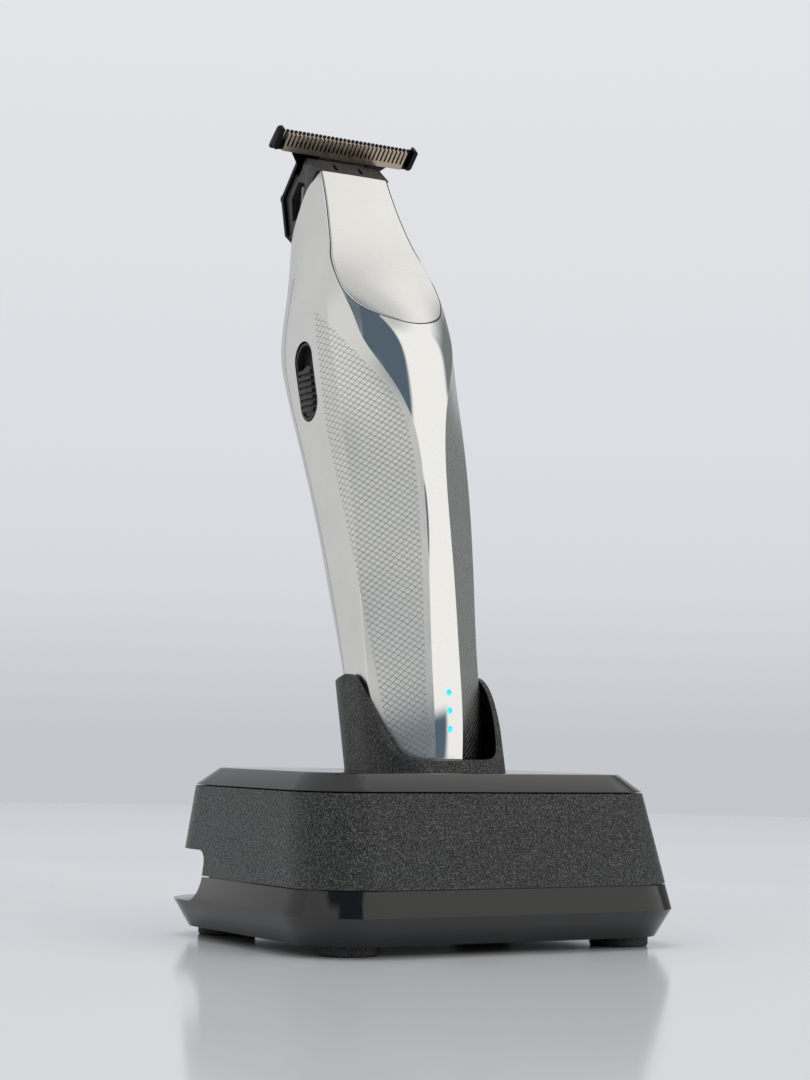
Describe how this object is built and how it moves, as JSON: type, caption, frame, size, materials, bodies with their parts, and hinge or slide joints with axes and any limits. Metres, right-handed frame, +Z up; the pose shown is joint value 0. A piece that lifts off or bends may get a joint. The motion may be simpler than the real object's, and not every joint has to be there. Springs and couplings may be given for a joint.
{
  "type": "hair trimmer in charging stand",
  "caption": "Cordless T-blade hair trimmer with side switch, leaning in the cradle of a low rectangular charging stand.",
  "frame": {"origin": "on the floor, under the middle of the whole object as it stands with the trimmer docked", "axes": "+X to the right of the stand seen from its front, +Y to its back, +Z up; the trimmer leans back 14 degrees towards +Y"},
  "size_m": [0.0988, 0.0954, 0.1954],
  "materials": {
    "stand_texture": "coarse moulded texture",
    "stand_gloss": "polished",
    "stand_under": "fine moulded texture",
    "foot_rubber": "matte",
    "screw_steel": "zinc plated",
    "inlet_plastic": "satin",
    "board_green": "solder mask",
    "cradle_texture": "fine moulded texture",
    "contact_gold": "plated",
    "housing_metal": "satin with polished front ridge and etched sides",
    "face_metal": "satin",
    "back_shell_metal": "satin",
    "led_blue": "lit lens",
    "switch_black": "satin",
    "cell_wrap": "shrink wrap",
    "motor_steel": "plated",
    "inner_plastic": "moulded",
    "cutter_bronze": "bronze tinted",
    "blade_black": "black coated steel",
    "holder_plastic": "satin"
  },
  "bodies": {
    "stand": {"stand_body": "stand_texture", "stand_top_bezel": "stand_gloss", "stand_lower_ring": "stand_gloss", "stand_bottom_plate": "stand_under", "rubber_feet": "foot_rubber", "stand_screws": "screw_steel", "dc_inlet": "inlet_plastic", "charging_board": "board_green", "charging_cradle": "cradle_texture", "pin_holder": "inner_plastic"},
    "pin_left": {"charging_pin_left": "contact_gold"},
    "pin_right": {"charging_pin_right": "contact_gold"},
    "trimmer": {"trimmer_housing": "housing_metal", "trimmer_back_shell": "back_shell_metal", "trimmer_faceplate": "face_metal", "led_lenses": "led_blue", "charging_contacts": "contact_gold", "switch_bezel": "switch_black", "battery_cell": "cell_wrap", "control_board": "board_green", "motor": "motor_steel", "motor_chassis": "inner_plastic", "fixed_blade": "blade_black", "blade_holder": "holder_plastic", "tension_spring": "screw_steel", "blade_screws": "screw_steel"},
    "switch": {"switch_slider": "switch_black"},
    "crank": {"crank_shaft": "screw_steel"},
    "cutter": {"moving_cutter": "cutter_bronze", "drive_fork": "inner_plastic"}
  },
  "joints": [
    {"name": "trimmer_lift", "type": "slide", "parent": "stand", "child": "trimmer", "axis": [0, 0.2419, 0.9703], "range_m": [0, 0.07]},
    {"name": "pin_left_press", "type": "slide", "parent": "stand", "child": "pin_left", "axis": [0, 0.2419, 0.9703], "range_m": [-0.0012, 0], "stiffness_N_per_m": 150},
    {"name": "pin_right_press", "type": "slide", "parent": "stand", "child": "pin_right", "axis": [0, 0.2419, 0.9703], "range_m": [-0.0012, 0], "stiffness_N_per_m": 150},
    {"name": "switch_slide", "type": "slide", "parent": "trimmer", "child": "switch", "axis": [0, 0.2419, 0.9703], "range_m": [0, 0.0045]},
    {"name": "crank_spin", "type": "hinge", "parent": "trimmer", "child": "crank", "pos_m": [0, 0.02117, 0.14267], "axis": [0, 0.2419, 0.9703], "continuous": true},
    {"name": "cutter_stroke", "type": "slide", "parent": "trimmer", "child": "cutter", "axis": [1, 0, 0], "range_m": [-0.0012, 0.0012]}
  ]
}
